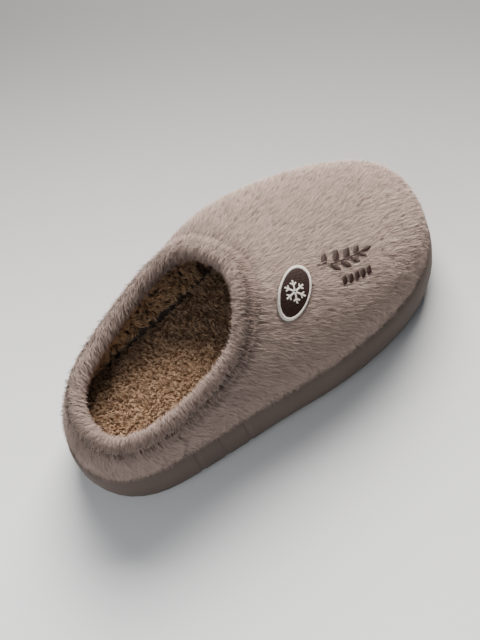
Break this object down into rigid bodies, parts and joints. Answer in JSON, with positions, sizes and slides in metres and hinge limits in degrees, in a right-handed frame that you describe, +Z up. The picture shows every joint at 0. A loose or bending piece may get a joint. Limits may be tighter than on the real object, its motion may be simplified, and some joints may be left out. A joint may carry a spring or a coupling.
{
  "type": "house_slipper",
  "caption": "Right-foot fur mule house slipper with a closed toe, open back, fur collar roll, plush insole and a moulded foam rubber sole",
  "frame": {"origin": "under the middle of the shoe's bounding box, on the floor", "axes": "+Y from heel to toe, +X to the outer side of the foot, +Z up"},
  "size_m": [0.1202, 0.2632, 0.0914],
  "materials": {
    "fur": "short plush pile, taupe with a mauve cast, soft sheen",
    "plush": "short dense tan plush",
    "foam_rubber": "matt moulded foam rubber, dark taupe",
    "badge_thread": "dark brown satin-stitch thread with an off-white border"
  },
  "bodies": {
    "root": {"sole": "foam_rubber", "upper": "fur", "collar": "fur", "insole": "plush", "badge": "badge_thread"}
  },
  "joints": []
}
